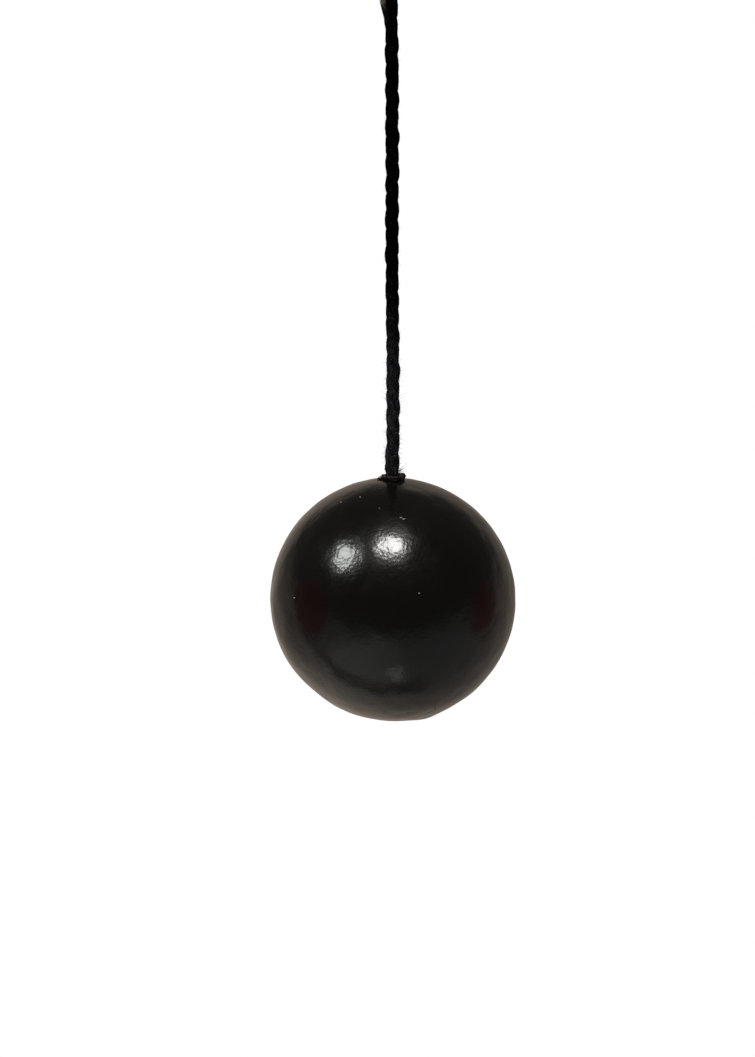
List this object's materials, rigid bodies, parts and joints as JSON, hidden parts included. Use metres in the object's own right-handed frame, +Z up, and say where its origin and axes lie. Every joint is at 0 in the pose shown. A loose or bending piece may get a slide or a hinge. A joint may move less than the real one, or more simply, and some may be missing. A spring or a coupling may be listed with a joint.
{
  "type": "ball on a cord",
  "caption": "Plain black gloss ball of pool-ball size hanging on a black twisted cord that is knotted inside it and ends in a knotted hanging loop.",
  "frame": {"origin": "where a hook bears on the inside of the hanging loop, on the line of the cord", "axes": "+Z up along the cord, X across the loop, Y through the loop; the ball hangs below the origin on the Z axis"},
  "size_m": [0.0572, 0.0572, 0.2317],
  "materials": {
    "turned_wood": "satin",
    "black_enamel": "gloss",
    "plug_wood": "matte",
    "dried_glue": "gloss",
    "black_cord": "matte"
  },
  "bodies": {
    "loop": {"hanging_loop": "black_cord"},
    "knot": {"loop_knot": "black_cord", "loop_tail": "black_cord"},
    "cord_head": {"upper_cord": "black_cord"},
    "cord_foot": {"lower_cord": "black_cord"},
    "ball": {"ball_core": "turned_wood", "enamel_coat": "black_enamel", "bottom_plug": "plug_wood", "glue_collar": "dried_glue", "cord_in_bore": "black_cord", "stopper_knot": "black_cord", "stopper_tail": "black_cord"}
  },
  "joints": [
    {"name": "swing_forwards", "type": "hinge", "parent": "loop", "child": "knot", "pos_m": [0, 0, -0.03065], "axis": [1, 0, 0], "range_deg": [-60, 60]},
    {"name": "swing_sideways", "type": "hinge", "parent": "knot", "child": "cord_head", "pos_m": [0, 0, -0.04935], "axis": [0, 1, 0], "range_deg": [-60, 60]},
    {"name": "cord_twist", "type": "hinge", "parent": "cord_head", "child": "cord_foot", "pos_m": [0, 0, -0.108], "axis": [0, 0, 1], "range_deg": [-170, 170]},
    {"name": "ball_tilt", "type": "hinge", "parent": "cord_foot", "child": "ball", "pos_m": [0, 0, -0.16922], "axis": [0, 1, 0], "range_deg": [-60, 60]}
  ]
}
